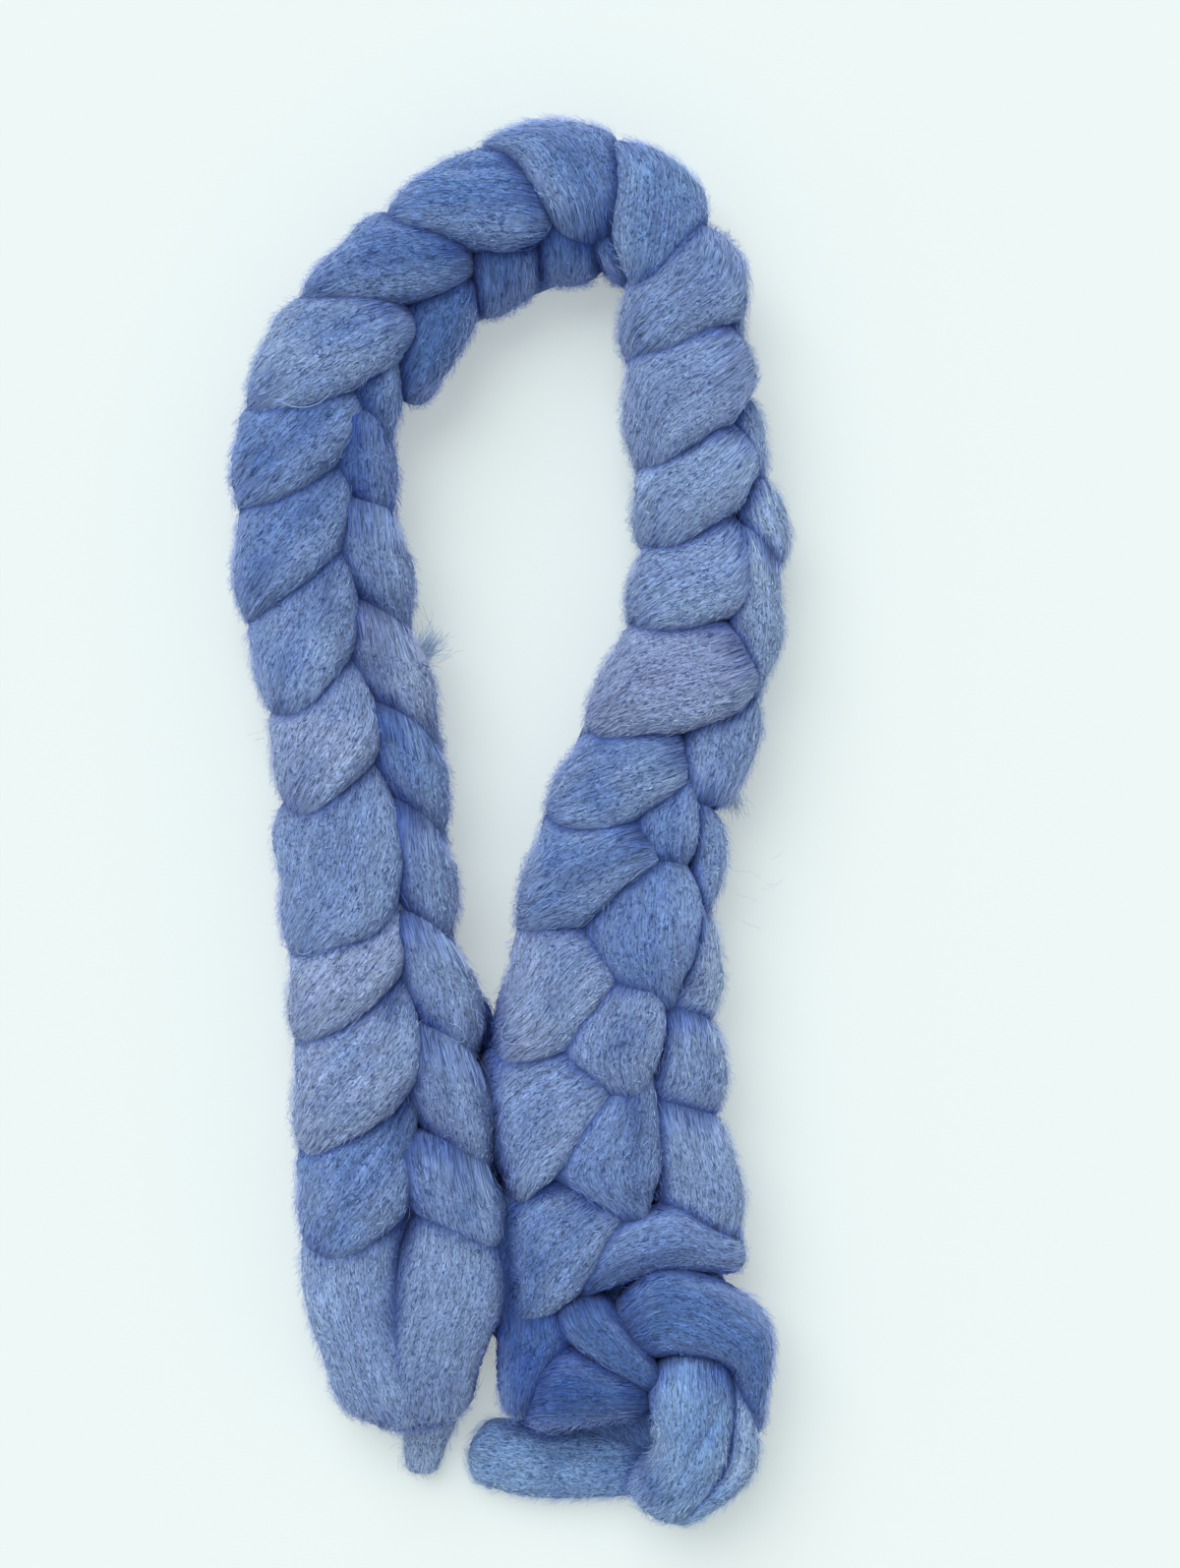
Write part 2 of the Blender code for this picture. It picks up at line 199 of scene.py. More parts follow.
    ("back_bump_1", ((69, 14), (71, 2), (70, -8), (64, -14)),
     ((61, 11), (50, 3), (49, -7), (56, -14)), 40, 10, 4, 0.5, 0.6, "blue", "blue"),
    ("back_bump_2", ((64, -16), (72, -29), (71, -46), (63, -58)),
     ((45, -20), (32, -33), (30, -48), (43, -62)), 45, 14, 8, 0.7, 0.5, "blue", "blue"),
    ("back_bump_3", ((56, -62), (58, -77), (56, -90), (49, -100)),
     ((40, -61), (26, -74), (20, -86), (34, -98)), 45, 13.5, 6, 0.6, 0.5, "soft", "soft"),
    ("back_bump_4", ((53, -101), (56, -116), (56, -131), (51, -145)),
     ((38, -103), (26, -116), (16, -130), (32, -142)), 45, 13, 4, 0.6, 0.5, "mid", "blue"),
    ("back_bump_5", ((32, -166), (40, -152), (61, -145), (88, -159)),
     ((35, -176), (47, -173), (64, -170), (89, -170)), 42, 12, 0, 0.5, 0.45, "blue", "mid"),
    ("knot_over", ((36, -182), (62, -167), (96, -187), (96, -221)),
     ((51, -203), (64, -201), (82, -205), (86, -219)), 45, 14, 0, 0.4, 0.8, "navy", "deep"),
    ("knot_cross", ((34, -177), (42, -189), (51, -200), (56, -208)),
     ((15, -181), (21, -196), (33, -206), (49, -214)), 40, 11, 0, 0.4, 0.5, "navy", "navy"),
    ("knot_left", ((20, -181), (24, -199), (16, -211), (11, -226)),
     ((-2, -181), (-5, -201), (-4, -216), (1, -229)), 35, 11, 0, 0.3, 0.45, "ink", "navy"),
    ("knot_under", ((54, -226), (38, -227), (20, -229), (4, -229)),
     ((52, -211), (37, -205), (22, -201), (6, -212)), 40, 13, 0, 0.4, 0.4, "navy", "ink"),
    ("knot_down", ((82, -200), (85, -221), (82, -242), (74, -259)),
     ((56, -202), (53, -220), (56, -236), (49, -247)), 44, 13.5, 0, 0.35, 0.6, "sky", "powder"),
    ("knot_edge", ((92, -211), (94, -229), (92, -249), (73, -265)),
     ((83, -206), (82, -225), (80, -243), (64, -255)), 36, 10, 0, 0.5, 0.5, "ice", "powder"),
)

# The loose ends: x, y, height of the middle, half width
FINISHING_TAIL = (
    (-32, -214, 10, 13.5),
    (-33, -228, 7, 11.5),
    (-34, -238, 4, 9.5),
    (-35, -246, 2.5, 7.5),
    (-36, -253, 1.2, 6),
)
STARTING_TAIL = (
    (58, -246, 8, 12),
    (40, -249, 6, 13.5),
    (20, -249, 4.5, 14.5),
    (3, -248, 3.5, 14.5),
    (-11, -246, 2.2, 12.5),
    (-17, -245, 1.2, 8),
)
# Where the two limbs press together, low between them, in the same way. The filling is dyed ink
# as painted shade in the gap between the limbs
LIMBS_MEET = (
    (-14, -66, 9, 4),
    (-10, -100, 12, 7),
    (-5, -138, 12, 7),
    (-1, -165, 11, 6),
    (1, -184, 9, 4),
)
TAIL_FLATNESS = 0.85         # half thickness to half width

# Creases within an arm, and fillings where the depth is negative: start x, y, end x, y, depth,
# half width
GROOVES = (
    (-45, -112, -65, -139, 2.5, 2.0),
    (-31, 249, 3, 249, 2.0, 1.8),
    (64, -69, 65, -101, 2.2, 2.0),
    (72, -75, 74, -105, 1.8, 1.8),
    (64, -116, 67, -150, 1.8, 2.0),
    (85, -210, 66, -243, 2.5, 2.2),
    (1, -236, 50, -225, 2.5, 2.0),
    (84, 90, 90, 60, 2.0, 2.0),
    (46, 230, 49, 212, 2.0, 2.0),
    (-45, -199, -42, -232, -4.5, 5.5),
    (-82, -165, -56, -160, -3.0, 5.0),
    (-19, -157, -2, -158, -3.0, 5.0),
    (86, 106, 84, 56, -5.0, 5.0),
    (-14, -80, -6, -122, 6.0, 3.0),
    (-6, -118, 0, -165, 6.0, 3.0),
    (-1, -160, 1, -190, 6.0, 3.0),
    (87, 218, 88, 190, -2.5, 4.0),
)
# Bands of painted shade along creases and gaps between the arms: start x, y, end x, y, reach, share
PAINTED_SHADE_BANDS = (
    (49, -15, 68, -11, 5.0, 0.60),
    (69, -41, 69, -64, 5.0, 0.50),
    (42, -82, 49, -78, 6.0, 0.50),
    (49, -106, 51, -138, 6.0, 0.80),
    (22, -26, 32, -22, 8.0, 0.40),
    (24, 16, 46, 18, 9.0, 0.20),
    (45, -236, 54, -253, 5.0, 0.65),
    (15, -217, 45, -219, 9.0, 0.40),
    (30, -174, 66, -161, 4.0, 0.50),
    (-69, 92, -66, 76, 6.0, 0.50),
    (-71, 137, -67, 131, 7.0, 0.45),
    (-54, 62, -52, 60, 5.0, 0.50),
    (-47, -71, -45, -69, 5.0, 0.60),
    (-15, -75, -9, -109, 3.5, 0.75),
    (-9, -109, -2, -154, 3.5, 0.85),
    (-2, -154, 1, -200, 4.0, 0.85),
    (-42, -112, -41, -122, 5.0, 0.40),
    (-40, -150, -46, -191, 4.5, 0.60),
    (45, 259, 39, 227, 3.5, 0.40),
)

# The packed middle of the chain
MIDDLE_HEIGHT = 22
MIDDLE_SHARE = 0.88          # of the chain's half width
# Its course: x, y, half width of the chain
CHAIN_MIDDLE = (
    (-39, -208, 25),
    (-41, -172, 34),
    (-45, -135, 35),
    (-47, -97, 34),
    (-49, -60, 32),
    (-55, -22, 30),
    (-57, 15, 31),
    (-63, 53, 30),
    (-70, 90, 31),
    (-74, 127, 28),
    (-72, 165, 28),
    (-59, 189, 28),
    (-33, 212, 25),
    (2, 229, 24),
    (32, 239, 25),
    (56, 228, 20),
    (66, 202, 19),
    (68, 165, 22),
    (77, 127, 25),
    (75, 90, 26),
    (63, 53, 30),
    (49, 15, 33),
    (41, -22, 34),
    (39, -60, 37),
    (38, -97, 40),
    (41, -135, 43),
    (44, -172, 42),
    (49, -210, 45),
    (64, -238, 24),
)

# The mesh of a roll of wool
RINGS = 34
SIDES = 44
TOP_SHARE = 0.45             # how much finer the mesh is over the top than underneath
OVAL_STEPS = 180
RUN_STEPS = 24               # between two stations, before the run is divided evenly
ROUNDED_END = 0.08           # share of the length in which each end closes
END_LEFT = 0.02              # of the square of the size, what is left at the very end
PLUMPER_FROM = 0.45          # share of the length where the roll starts to get plumper
PLUMPER_OVER = 0.30

# Unevenness of the rolls: share of the size, seed, size of the features in millimetres
SWELLS = ((0.03, 11, 24), (0.014, 12, 8))
BLEND = (0.35, 13, 14)
WAVES = 9
WAVE_RATE = 2.2              # radians from one side of a feature to the other
ROLLS_APART = 71.0           # far enough that no two rolls are uneven in the same way
LAYS_APART = (53.0, 31.0, 37.0)
GROOVE_FADE = 0.04           # share of a groove's length that is left out at each end
GROOVES_ABOVE = 15           # millimetres over the floor

# How neighbours are pressed together
RAY_GAP = 0.0002             # in metres, so that a ray doesn't hit the roll that it starts from
CONTACT_REACH = 2.5          # neighbours closer than this are pressed together
CONTACT_SHARE = 0.42         # of the gap, the share that each of the two swells
LIFTED_EDGE = 0.15           # share of the half width from which an edge counts as lifted
LIFTED_CONTACT = 0.2         # a lifted edge swells only this much of it

# Painted light and shade in the dye: a painted sheen on the open flanks, a painted highlight on
# lifted rims, and painted shade deeper in the hollows and the creases
SHADE_RAYS = 14
SHADE_WIDEST = 0.94          # sine of the widest ray
SHADE_GAP = 0.0005
SHADE_HELPER = (0.36, 0.48, 0.80)
CREASE_REACH = 2.6
HOLLOW_REACH = 26.0
HOLLOW_FROM = 0.10
HOLLOW_SPAN = 0.42
HOLLOW_SHADE_DEPTH = 0.74 * np.array((1.0, 0.86, 0.42))
HOLLOW_CLOSES = 2.2
FLANK_FROM = 0.97
FLANK_SPAN = 0.6
FLANK_SHEEN = 0.42
RIM_FROM = 0.35              # share of the half width
RIM_SPAN = 0.5
RIM_HIGHLIGHT = 0.36
RIM_FACING = 1.4
RIM_SHELTER = 0.80           # how much of the hollow's painted shade a lifted rim is spared
RIM_CREASE_SHADE_SHELTER = 0.75
RIM_BAND_SHADE_SHELTER = 0.6
CREASE_SHADE_FROM = 0.26
CREASE_SHADE_SPAN = 0.34
CREASE_SHADE_DEPTH = 0.92
CREASE_SHADE_LEVEL, CREASE_SHADE_LEAST = 0.35, 0.2    # less painted crease shade where the wool doesn't face up
CREASE_SHADE_NARROW, CREASE_SHADE_WIDER = 0.40, 1.3   # and where the hollow is narrow
DYE_GAIN = np.array((1.105, 1.115, 1.107))

# Kinds of hair: seed, how many, points along each, least and most length and width, how far
# they stray from the fibres and curl, how far they rise in the middle and lift at the end, their
# mean tint and its spread, and the share of dark ones
DOWN = {"seed": 21, "count": 31000, "points": 4, "length": (1.8, 4.2), "width": (0.22, 0.42),
        "stray": 0.5, "curl": 2.4, "rise": (0.0, 0.6), "lift": (-0.2, 0.4), "tint": (1.5, 0.35),
        "dark": 0.24}
HALO = {"seed": 22, "count": 31000, "points": 4, "length": (3.0, 8.5), "width": (0.08, 0.15),
        "stray": 0.8, "curl": 1.8, "rise": (0.0, 1.2), "lift": (0.5, 4.2), "tint": (1.6, 0.2),
        "warm": np.array((1.12, 0.97, 1.04))}
LONG_CURLS = {"seed": 23, "count": 110, "points": 14, "length": (9.0, 20.0), "width": (0.16, 0.28),
              "stray": 0.9, "curl": 3.4, "rise": (0.2, 1.4), "lift": (0.0, 1.5), "tint": (2.0, 0.25)}
HALO_EVERYWHERE = 0.10       # the rest of the halo keeps to the edges
EDGE_POWER = 4
BARE_CREASE = (1.2, 1.5, 0.1)    # how the hairs thin out towards a crease, and what is left
DARK_TONE = 0.45
DARK_BELOW = 0.6
DARK_TINGE = np.array((0.0, 0.06, 0.20))
PALEST, DEEPEST = 0.95, 0.01
HAIR_FLOOR = 0.2             # no hair lies lower than this
HAIRS_PER_PIECE = 16000
HAIR_CORNERS = (math.pi / 2, math.pi * 7 / 6, math.pi * 11 / 6)

# Tufts: x, y, height, heading and fan in degrees, length, hairs, spread of their roots, dye
WISPS = (
    (-37, 63, 24, 52, 12, 13, 230, 1.9, "pale"),
    (-33, 70, 20, 68, 8, 22, 3, 1.0, "pale"),
    (85, 13, 22, -82, 12, 8, 120, 1.8, "pale"),
    (79, 221, 24, 55, 20, 7, 90, 2.0, "ice"),
    (-36, -243, 3, -96, 26, 7, 220, 2.8, "pale"),
    (88, -20, 20, -5, 30, 12, 6, 6.0, "pale"),
    (-88, 35, 20, 195, 25, 8, 8, 4.0, "pale"),
)
WISP_SEED = 24
WISP_POINTS = 9
WISP_BEND = 0.5
WISP_WAVE = 0.25
WISP_WAVES = 7
WISP_LENGTH = (0.45, 1.1)    # share of the tuft's length
WISP_TINT = (0.8, 1.2)
WISP_WIDTH = (0.08, 0.15)
WISP_ROOTS = 3               # how far their roots lie up and down
WISP_RISE = 2
WISP_FLOOR = 0.4

# The packed middle's mesh
MIDDLE_RINGS = 150
MIDDLE_ARC = 14
MIDDLE_FLOOR = 6
MIDDLE_FLOOR_SHARE = 0.9

# Patterns in the wool: changes to a millimetre along the fibres and across them, place, detail
# and distortion, darkest and lightest tone
MOTTLE = ((0.06, 0.11, 1.0), (3.0, 5.0, 0.0), 2.0, 0.4, 0.90, 1.10)
STREAK = ((0.11, 1.50, 1.0), (9.0, 2.0, 0.0), 3.0, 0.5, 0.70, 1.30)
FELT = ((0.50, 1.50, 1.0), (0.0, 7.0, 0.0), 3.0, 1.2, 0.52, 1.48)
STRAND = ((0.025, 0.42, 1.0), (7.0, 3.0, 0.0), 2.0, 0.6, 0.83, 1.17)
# Pits: painted shade between the fibres, darkened towards the crease colour
PIT_FIELD = ((0.55, 1.70, 1.0), (31.0, 17.0, 5.0), 0.5, 0.2)
PIT_FROM, PIT_FULL, PIT_DEPTH = 0.60, 0.66, 0.76
CURL_FIELD = ((0.38, 0.75, 1.0), (2.0, 9.0, 0.0), 1.0, 1.0)
CURL_LINE = 0.5              # a curl runs where its field has this value
CURL_WIDTH, CURL_TONE = 0.030, 1.60
NOISE_LOW, NOISE_HIGH = 0.3, 0.7

# The stage and the camera, in metres
FLOOR_SIZE = 6.0
FLOOR_LEVEL = -0.0002
LIGHT_PLACE = (-0.5, 1.1, 1.25)
CAMERA_OVER = (0.0318, 0.0133)
CAMERA_HEIGHT = 1.0          # above the plane whose size the frame gives
CAMERA_PLANE = 0.033
FRAME_HEIGHT = 0.59775


def unit(vectors):
    return vectors / np.linalg.norm(vectors, axis=-1, keepdims=True)


def share_of(values, start, span):
    """How far values have come from the start over the span, from 0 to 1."""
    return np.clip((values - start) / span, 0, 1)


def round_shares():
    """Shares of the girth, from underneath and round, closer together over the top."""
    turn = np.arange(SIDES + 1) / SIDES
    return turn + TOP_SHARE * np.sin(2 * math.pi * turn) / (2 * math.pi)


ROUND = round_shares()[:-1]
ROUND_STEP = np.diff(round_shares())


def drawn_in(edge, start, end):
    """An edge of four points with both of its ends drawn in by a distance."""
    edge = np.array(edge, float)
    first, last = edge[1] - edge[0], edge[2] - edge[3]
    edge[0] += first * min(start / np.linalg.norm(first), DRAWN_IN_MOST)
    edge[3] += last * min(end / np.linalg.norm(last), DRAWN_IN_MOST)
    return edge


def arm_stations(left_edge, right_edge, top, thick, lean, start_sink, end_sink):
    """Places along the arm's middle, and in plan its way to the left edge and its course."""
    start_in = 0 if start_sink >= HIDDEN_SINK else EDGE_IN * thick
    end_in = 0 if end_sink >= HIDDEN_SINK else EDGE_IN * thick
    left, right = (drawn_in(edge, start_in, end_in) for edge in (left_edge, right_edge))
    across = unit(left - right)
    under = np.array(UNDERLAP)[:, None]
    left += across * (under if lean < 0 else RIM_OVER)
    right -= across * (under if lean > 0 else RIM_OVER)
    middle = (left + right) / 2
    aside = (left - right) / 2
    crown_z = top - thick
    start_z = crown_z - start_sink * thick
    end_z = crown_z - end_sink * thick
    rest_z = UNDER_REST * thick
    course = unit(np.gradient(middle, axis=0))
    back = -course[3] * thick
    root_z = max(start_z - ROOT_DROP * thick, rest_z)
    flank_z = max(end_z - FLANK_DROP * thick, rest_z + FLANK_OVER_REST)
    return np.array((
        (*middle[0], root_z, *aside[0] * ROOT_WIDTH, *course[0]),
        (*middle[0], start_z, *aside[0], *course[0]),
        (*middle[1], crown_z - SINK_AHEAD * start_sink * thick, *aside[1], *course[1]),
        (*middle[2], crown_z - SINK_AHEAD * end_sink * thick, *aside[2], *course[2]),
        (*middle[3], end_z, *aside[3], *course[3]),
        (*(middle[3] + back * FLANK_BACK), flank_z, *aside[3] * FLANK_WIDTH, *course[3]),
        (*(middle[3] + back * UNDER_BACK), rest_z, *aside[3] * UNDER_WIDTH, *course[3]),
    ))


def tail_stations(rows):
    """The same for a loose end or a filling, from its places and half widths."""
    line = np.array(rows, float)
    course = unit(np.gradient(line[:, :2], axis=0))
    aside = np.column_stack((-course[:, 1], course[:, 0])) * line[:, 3:]
    return np.column_stack((line[:, :3], aside, course))


def smooth_run(stations, count):
    """A smooth run through the stations in even steps: places, sideways ways and directions."""
    ends = np.vstack((2 * stations[0] - stations[1], stations, 2 * stations[-1] - stations[-2]))
    pieces = []
    for step in range(len(stations) - 1):
        a, b, c, d = ends[step:step + 4]
        t = np.linspace(0, 1, RUN_STEPS, endpoint=False)[:, None]
        pieces.append(0.5 * (2 * b + (c - a) * t + (2 * a - 5 * b + 4 * c - d) * t ** 2
                             + (3 * b - a - 3 * c + d) * t ** 3))
    dense = np.vstack((*pieces, stations[-1:]))
    steps = np.linalg.norm(np.diff(dense[:, :3], axis=0), axis=1)
    length = np.concatenate(([0.0], np.cumsum(steps)))
    even = np.linspace(0, length[-1], count)
    run = np.column_stack([np.interp(even, length, column) for column in dense.T])
    return run[:, :3], run[:, 3:], unit(np.gradient(run[:, :3], axis=0)), even


def ripples(places, seed, size):
    """Smooth unevenness between about -1 and 1, whose features are about size across."""
    chance = np.random.default_rng(seed)
    turns = chance.normal(size=(WAVES, places.shape[-1])) * (WAVE_RATE / size)
    starts = chance.uniform(0, 2 * math.pi, WAVES)
    return np.sin(places @ turns.T + starts).sum(-1) / math.sqrt(WAVES)


def oval(half, thick, left_plump, right_plump):
    """Points evenly spaced round a plump oval, from underneath over its left flank, and its girth."""
    turn = np.radians(np.linspace(-90, 270, OVAL_STEPS + 1))
    plump = np.where(np.cos(turn) > 0, left_plump, right_plump)
    a = half * np.sign(np.cos(turn)) * np.abs(np.cos(turn)) ** (2 / plump)
    b = thick * np.sign(np.sin(turn)) * np.abs(np.sin(turn)) ** (2 / plump)
    length = np.concatenate(([0.0], np.cumsum(np.hypot(np.diff(a), np.diff(b)))))
    return np.interp(ROUND * length[-1], length, a), np.interp(ROUND * length[-1], length, b), length[-1]


def off_line(places, start, end):
    """How far places lie off a line, and how far along it."""
    line = np.array(end, float) - start
    at = ((places - start) @ line) / (line @ line)
    return np.linalg.norm(places - start - np.clip(at, 0, 1)[..., None] * line, axis=-1), at


def pressed_grooves(places):
    """The places with the creases within an arm pressed in, and the fillings raised."""
    for x, y, far_x, far_y, depth, wide in GROOVES:
        off, at = off_line(places[..., :2], (x, y), (far_x, far_y))
        at = np.clip(at, GROOVE_FADE, 1 - GROOVE_FADE)
        fade = np.sin(np.pi * at) ** 0.5 * (places[..., 2] > GROOVES_ABOVE)
        places[..., 2] -= depth * fade * np.exp(-(off / wide) ** 2)
    return places


def roll(number, stations, thick, lean, tones):
    """One roll of wool: a grid of places round and along it, with its dye and its lay. The dye is
    partly painted shade.
    """
    middle, plan, along, length = smooth_run(stations, RINGS)
    aside, course = plan[:, :2], unit(plan[:, 2:])
    half = np.linalg.norm(aside, axis=1)
    across = np.column_stack((aside / half[:, None], np.zeros(RINGS)))
    up = unit(np.cross(along, np.column_stack((-course[:, 1], course[:, 0], np.zeros(RINGS)))))
    tilt = math.radians(lean)
    across, up = (across * math.cos(tilt) + up * math.sin(tilt),
                  up * math.cos(tilt) - across * math.sin(tilt))
    share = np.linspace(0, 1, RINGS)
    plump = PLUMP + (PLUMP_END - PLUMP) * share_of(share, PLUMPER_FROM, PLUMPER_OVER)
    close = 1.0
    for past in (share - (1 - ROUNDED_END), ROUNDED_END - share):
        close = close * np.sqrt(np.clip(1 - share_of(past, 0, ROUNDED_END) ** 2, END_LEFT, 1))
    lifted, lowered = np.full(RINGS, PLUMP_RIM), np.full(RINGS, PLUMP_BACK)
    left_plump = lifted if lean > 0 else lowered if lean < 0 else plump
    right_plump = lifted if lean < 0 else lowered if lean > 0 else plump
    ovals = map(oval, half, np.full(RINGS, thick), left_plump, right_plump)
    a, b, girth = map(np.array, zip(*ovals))
    places = (middle[:, None] + across[:, None] * (a * close[:, None])[..., None]
              + up[:, None] * (b * close[:, None])[..., None])
    own = places + np.array((0.0, 0.0, ROLLS_APART * number))
    swell = sum(much * ripples(own, seed, size) for much, seed, size in SWELLS)
    places += (places - middle[:, None]) * swell[..., None]
    beside = (0.5 - ROUND) * girth.mean()
    apart_along, apart_aside, apart = np.array(LAYS_APART) * number
    lay = np.stack(np.broadcast_arrays(length[:, None] + apart_along, beside + apart_aside, apart), -1)
    much, seed, size = BLEND
    blend = np.clip(share[:, None] + much * ripples(own, seed, size), 0, 1)[..., None]
    dye_and_shading = np.array(DYES[tones[0]]) * (1 - blend) + np.array(DYES[tones[1]]) * blend
    places = (pressed_grooves(places) - np.array((MIDDLE_X, MIDDLE_Y, 0.0))) * MM
    return {"places": places, "lay": lay, "dye_and_shading": dye_and_shading, "ring": length[-1] / (RINGS - 1),
            "side": ROUND_STEP * girth.mean(), "lifted": np.sign(lean) * a / half[:, None]}


def make_rolls():
    rolls = []
    for _, left, right, top, thick, lean, start_sink, end_sink, *tones in ARMS:
        stations = arm_stations(left, right, top, thick, lean, start_sink, end_sink)
        rolls.append(roll(len(rolls), stations, thick, lean, tones))
    # The filling between the limbs is dyed ink, painted shade in the gap between them
    for rows, tones in ((FINISHING_TAIL, ("ice", "ice")), (STARTING_TAIL, ("sky", "powder")),
                        (LIMBS_MEET, ("ink", "ink"))):
        thick = rows[1][3] * TAIL_FLATNESS
        rolls.append(roll(len(rolls), tail_stations(rows), thick, 0, tones))
    return rolls


def facing_out(places):
    round_it = np.roll(places, -1, 1) - np.roll(places, 1, 1)
    return unit(np.cross(round_it, np.gradient(places, axis=0)) + 1e-12)


def smoothed(values, times_over):
    for _ in range(times_over):
        values = (values * 2 + np.roll(values, 1, 1) + np.roll(values, -1, 1)) / 4
        values[1:-1] = (values[1:-1] * 2 + values[:-2] + values[2:]) / 4
    return values


def grid_faces(rings, sides, first):
    """Faces of a closed tube of rings, without its ends."""
    ring = np.arange(rings - 1)[:, None] * sides
    step = np.arange(sides)
    after = (step + 1) % sides
    faces = np.stack((ring + step, ring + after, ring + sides + after, ring + sides + step), -1)
    return faces.reshape(-1, 4) + first


def end_faces(rings, sides, first):
    last = first + (rings - 1) * sides
    return [[first + k for k in range(sides)][::-1], [last + k for k in range(sides)]]


def all_faces(rolls):
    return np.vstack([grid_faces(RINGS, SIDES, k * RINGS * SIDES) for k in range(len(rolls))])


def all_points(rolls, key):
    return np.vstack([wool[key].reshape(-1, 3) for wool in rolls])


def along_ray(normal, way):
    return normal[0] * way[0] + normal[1] * way[1] + normal[2] * way[2]


def press_together(rolls):
    """Swells the rolls where they face each other closely, till only a crease is left."""
    per_roll = (RINGS - 1) * SIDES
    points = all_points(rolls, "places")
    tree = BVHTree.FromPolygons(points.tolist(), all_faces(rolls).tolist())
    for number, wool in enumerate(rolls):
        out = facing_out(wool["places"])
        push = np.zeros(RINGS * SIDES)
        starts = (wool["places"] + out * RAY_GAP).reshape(-1, 3).tolist()
        for k, (start, way) in enumerate(zip(starts, out.reshape(-1, 3).tolist())):
            hit, normal, face, distance = tree.ray_cast(start, way, CONTACT_REACH * MM)
            if hit is None or face // per_roll == number:
                continue
            if along_ray(normal, way) < 0:
                push[k] = distance * CONTACT_SHARE
        push = push.reshape(RINGS, SIDES) * np.where(wool["lifted"] > LIFTED_EDGE, LIFTED_CONTACT, 1.0)
        wool["places"] = wool["places"] + out * smoothed(push, 1)[..., None]
    for wool in rolls:
        wool["places"][..., 2] = np.maximum(wool["places"][..., 2], 0.0)
        wool["out"] = facing_out(wool["places"])


def shade_rays():
    """Directions spread evenly over the half sphere round the third axis."""
    step = np.arange(SHADE_RAYS) + 0.5
    away = np.sqrt(step / SHADE_RAYS) * SHADE_WIDEST
    turn = step * math.pi * (3 - math.sqrt(5))
    return np.column_stack((away * np.cos(turn), away * np.sin(turn), np.sqrt(1 - away ** 2)))


def closed_in(rolls):
    """Casts rays outwards. For every place: how near and how wide it is closed in, and if buried."""
    points, outs = all_points(rolls, "places"), all_points(rolls, "out")
    tree = BVHTree.FromPolygons(points.tolist(), all_faces(rolls).tolist())
    side = unit(np.cross(outs, SHADE_HELPER) + 1e-9)
    other = np.cross(outs, side)
    reach = HOLLOW_REACH * MM
    crease, hollow = np.zeros(len(points)), np.zeros(len(points))
    buried = np.zeros(len(points), bool)
    starts = (points + outs * SHADE_GAP).tolist()
    for ray in shade_rays():
        ways = side * ray[0] + other * ray[1] + outs * ray[2]
        for k, (start, way) in enumerate(zip(starts, ways.tolist())):
            hit, normal, _, distance = tree.ray_cast(start, way, reach)
            if hit is None:
                continue
            if along_ray(normal, way) > 0:
                distance = 0.0
                buried[k] = True
            hollow[k] += 1 - distance / reach
            crease[k] += max(1 - distance / (CREASE_REACH * MM), 0)
    shape = (len(rolls), RINGS, SIDES)
    return ((crease / SHADE_RAYS).reshape(shape), (hollow / SHADE_RAYS).reshape(shape),
            buried.reshape(shape))


def shade_creases(rolls):
    """Paints light and shade into the dye: a painted sheen on the flanks, a painted highlight on
    lifted rims, and painted shade in the hollows, the creases and along the painted shade bands.
    """
    for wool, near, wide, hidden in zip(rolls, *closed_in(rolls)):
        wool["near"] = smoothed(near, 1)
        wool["buried"] = hidden
        wide = share_of(smoothed(wide, 3), HOLLOW_FROM, HOLLOW_SPAN)[..., None]
        up = wool["out"][..., 2:]
        wool["open"] = np.clip(1 - HOLLOW_CLOSES * wide, 0, 1)
        rim = share_of(wool["lifted"], RIM_FROM, RIM_SPAN)[..., None]
        # Painted shade in the hollows, which lifted rims are mostly spared
        dye_and_shading = wool["dye_and_shading"] * DYE_GAIN * (1 - HOLLOW_SHADE_DEPTH * wide * (1 - RIM_SHELTER * rim))
        # Painted sheen on the open flanks and a painted highlight on lifted rims that face up
        flank = np.clip((FLANK_FROM - up) / FLANK_SPAN, 0, 1) * wool["open"] * FLANK_SHEEN
        flank = np.maximum(flank, RIM_HIGHLIGHT * rim * np.clip(RIM_FACING * up, 0, 1))
        dye_and_shading = dye_and_shading * (1 - flank) + PAINTED_FLANK_SHEEN * flank
        # Painted shade in the narrow creases, less where the wool doesn't face up
        painted_shade = share_of(wool["near"], CREASE_SHADE_FROM, CREASE_SHADE_SPAN)[..., None] * CREASE_SHADE_DEPTH
        painted_shade = painted_shade * np.clip(CREASE_SHADE_LEVEL + up, CREASE_SHADE_LEAST, 1)
        painted_shade = painted_shade * np.clip(CREASE_SHADE_NARROW + CREASE_SHADE_WIDER * wide, 0, 1) * (1 - RIM_CREASE_SHADE_SHELTER * rim)
        dye_and_shading = dye_and_shading * (1 - painted_shade) + PAINTED_CREASE_SHADE * painted_shade
        # Painted shade along the bands of the table
        places = wool["places"][..., :2] / MM + (MIDDLE_X, MIDDLE_Y)
        for x, y, far_x, far_y, reach, share in PAINTED_SHADE_BANDS:
            off = off_line(places, (x, y), (far_x, far_y))[0]
            painted_shade = (share * np.exp(-(off / reach) ** 2))[..., None] * (1 - RIM_BAND_SHADE_SHELTER * rim)
            dye_and_shading = dye_and_shading * (1 - painted_shade) + PAINTED_CREASE_SHADE * painted_shade
        wool["dye_and_shading"] = dye_and_shading


